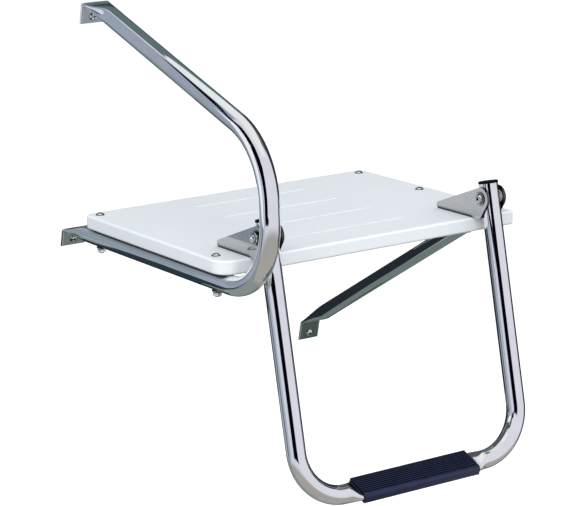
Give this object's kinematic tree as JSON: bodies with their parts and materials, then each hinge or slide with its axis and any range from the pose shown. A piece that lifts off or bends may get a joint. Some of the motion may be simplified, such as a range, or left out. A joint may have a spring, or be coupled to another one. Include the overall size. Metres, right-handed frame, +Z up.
{
  "type": "boat boarding ladder platform",
  "caption": "Transom platform board with a curved handrail on one side, a diagonal brace and a fold-up tube ladder with a ribbed tread.",
  "frame": {"origin": "lower handrail bolt's axis where it meets the boat's transom", "axes": "+X across the stern from the handrail side to the brace side, +Y forward into the boat, +Z up"},
  "size_m": [0.465, 0.6037, 0.6081],
  "materials": {
    "polished_stainless": "mirror polished",
    "satin_stainless": "fine satin sheet",
    "bright_fastener": "polished, slightly worn edges",
    "white_board": "smooth semi-gloss",
    "navy_tread": "semi-gloss ribbed moulding",
    "black_cap": "soft matte",
    "white_nylon": "matte"
  },
  "bodies": {
    "platform": {"handrail_tube": "polished_stainless", "side_arm_tube": "polished_stainless", "brace_tube": "polished_stainless", "platform_board": "white_board", "hinge_bracket_left": "satin_stainless", "hinge_bracket_right": "satin_stainless", "pivot_bolts": "bright_fastener", "pivot_washers": "bright_fastener", "pivot_cap_nuts": "bright_fastener", "handrail_bolts": "bright_fastener", "side_arm_bolts": "bright_fastener", "brace_bolt": "bright_fastener", "board_bolt_washers": "bright_fastener", "board_bolt_nuts": "bright_fastener", "bracket_screws": "bright_fastener", "bracket_washers": "bright_fastener", "bracket_nuts": "bright_fastener", "transom_bolts": "bright_fastener"},
    "ladder": {"ladder_tube": "polished_stainless", "step_tread": "navy_tread", "tread_screws": "bright_fastener", "leg_cap_left": "black_cap", "leg_cap_right": "black_cap", "pivot_bushes": "white_nylon"}
  },
  "joints": [
    {"name": "ladder_fold", "type": "hinge", "parent": "platform", "child": "ladder", "pos_m": [0.21625, -0.438, 0.0745], "axis": [-1, 0, 0], "range_deg": [0, 261]}
  ]
}
